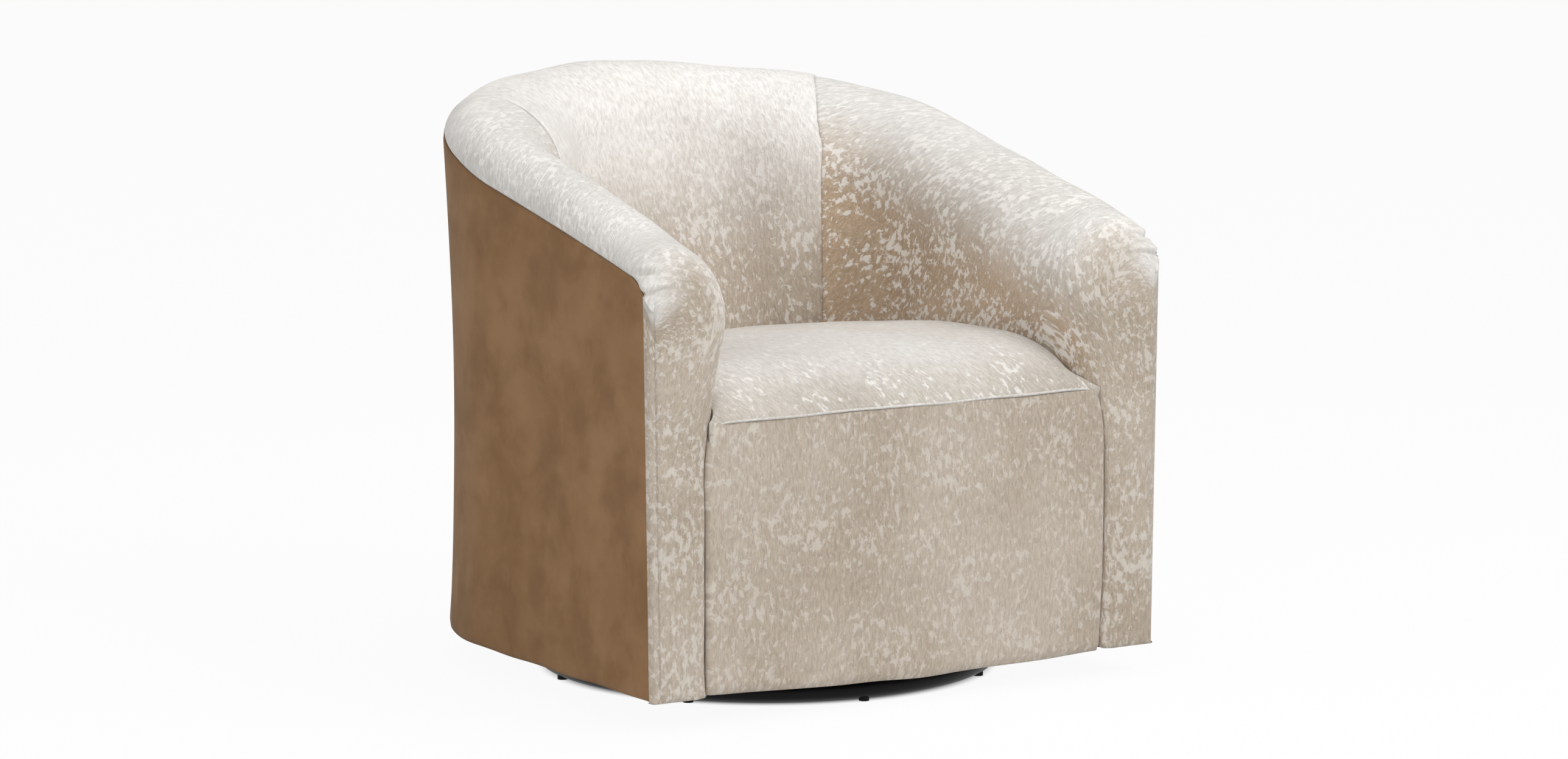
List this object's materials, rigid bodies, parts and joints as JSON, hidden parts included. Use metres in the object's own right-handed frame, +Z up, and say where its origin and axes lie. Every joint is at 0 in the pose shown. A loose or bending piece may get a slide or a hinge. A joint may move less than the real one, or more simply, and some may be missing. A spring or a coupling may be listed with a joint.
{
  "type": "swivel chair",
  "caption": "Barrel-shaped upholstered swivel armchair: suede-like outside wrap, velvet inside with a sloping padded rim, and a low black ring base on a ball bearing.",
  "frame": {"origin": "middle of the footprint's bounding box, on the floor", "axes": "+Z up, +Y from the open front to the back, +X to the sitter's left"},
  "size_m": [0.815, 0.8398, 0.796],
  "materials": {
    "suede": "matte",
    "velvet": "matte",
    "ring_black": "satin",
    "foot_black": "matte",
    "zinc_steel": "satin",
    "ball_steel": "polished",
    "cage_nylon": "satin",
    "plywood": "matte",
    "webbing": "matte",
    "foam": "matte",
    "card": "matte",
    "lining_black": "matte"
  },
  "bodies": {
    "base": {"base_ring": "ring_black", "ring_feet": "foot_black", "ring_spider": "ring_black", "lower_bearing_plate": "zinc_steel", "lower_plate_bolts": "zinc_steel"},
    "cage": {"ball_cage": "cage_nylon", "bearing_balls": "ball_steel"},
    "chair": {"upper_bearing_plate": "zinc_steel", "upper_plate_screws": "zinc_steel", "swivel_board": "plywood", "corner_blocks": "plywood", "bottom_rail": "plywood", "top_rail": "plywood", "left_front_post": "plywood", "right_front_post": "plywood", "left_side_post": "plywood", "right_side_post": "plywood", "left_back_post": "plywood", "right_back_post": "plywood", "front_rail": "plywood", "seat_hoop": "plywood", "back_rail": "plywood", "seat_webbing": "webbing", "cross_webbing": "webbing", "seat_deck": "lining_black", "seat_foam": "foam", "seat_pad": "velvet", "seat_front_panel": "velvet", "seat_welt": "velvet", "left_arm_pad": "velvet", "right_arm_pad": "velvet", "back_pad": "velvet", "inner_liner": "card", "outer_liner": "card", "outside_wrap": "suede", "dust_cover": "lining_black"}
  },
  "joints": [
    {"name": "swivel", "type": "hinge", "parent": "base", "child": "chair", "pos_m": [0, -0.064, 0.0375], "axis": [0, 0, 1], "continuous": true},
    {"name": "cage_turn", "type": "hinge", "parent": "base", "child": "cage", "pos_m": [0, -0.064, 0.0375], "axis": [0, 0, 1], "continuous": true}
  ],
  "couplings": [
    {"joint": "cage_turn", "follows": "swivel", "ratio": 0.5}
  ]
}
